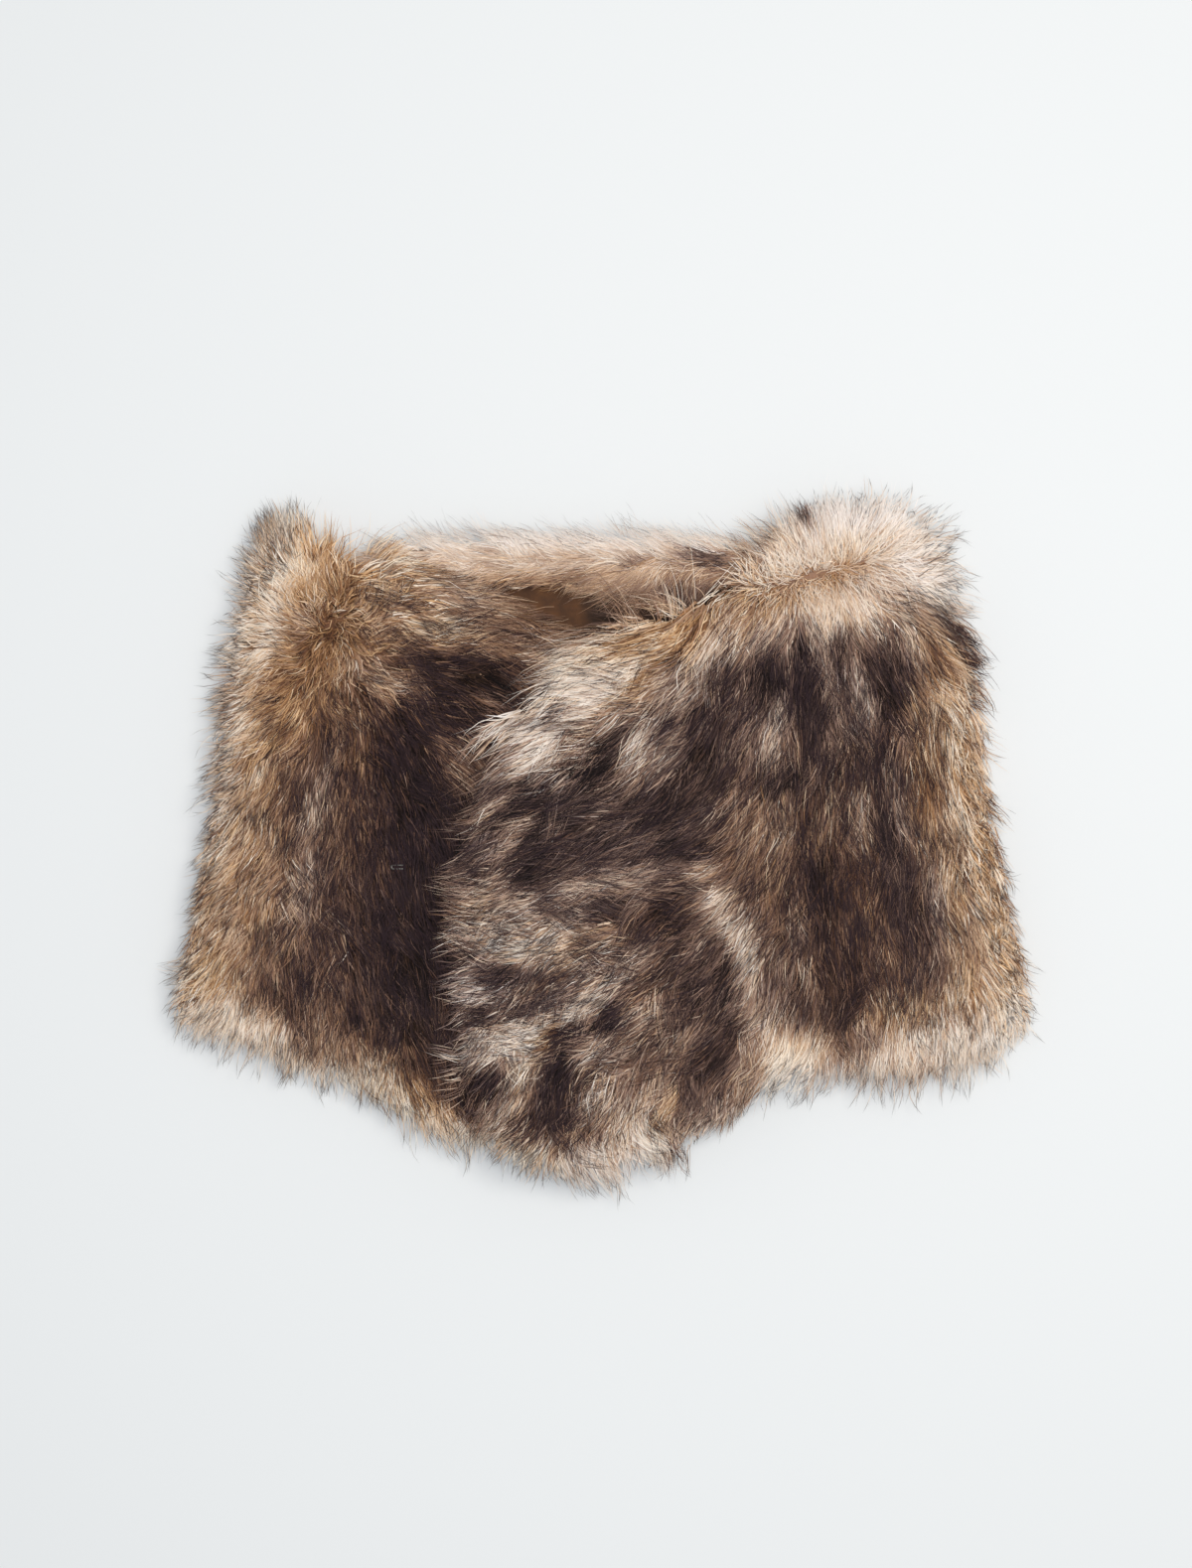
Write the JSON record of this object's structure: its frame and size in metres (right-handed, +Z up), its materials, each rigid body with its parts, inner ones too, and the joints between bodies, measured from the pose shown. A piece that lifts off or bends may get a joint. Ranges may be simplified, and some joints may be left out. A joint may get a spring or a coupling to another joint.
{
  "type": "fur collar wrap",
  "caption": "Short long-pile fur shoulder wrap laid flat and closed: overlapping fronts over a back panel, with a turned fur facing and lining in the neck opening.",
  "frame": {"origin": "centre of the bounding box on the surface that the wrap lies on", "axes": "+X to the side of the right-hand front as it lies, +Y towards the neck edge, +Z up out of the fur"},
  "size_m": [0.4436, 0.3548, 0.0525],
  "materials": {
    "fur": "long raccoon-pattern pile, warm tan roots and dark brown tips",
    "lining": "tan-brown suede-look lining",
    "hook": "plain wire"
  },
  "bodies": {
    "root": {"back": "fur", "left_front": "fur", "right_front": "fur", "neck_facing": "fur", "lining": "lining", "hook_eye": "hook"}
  },
  "joints": []
}
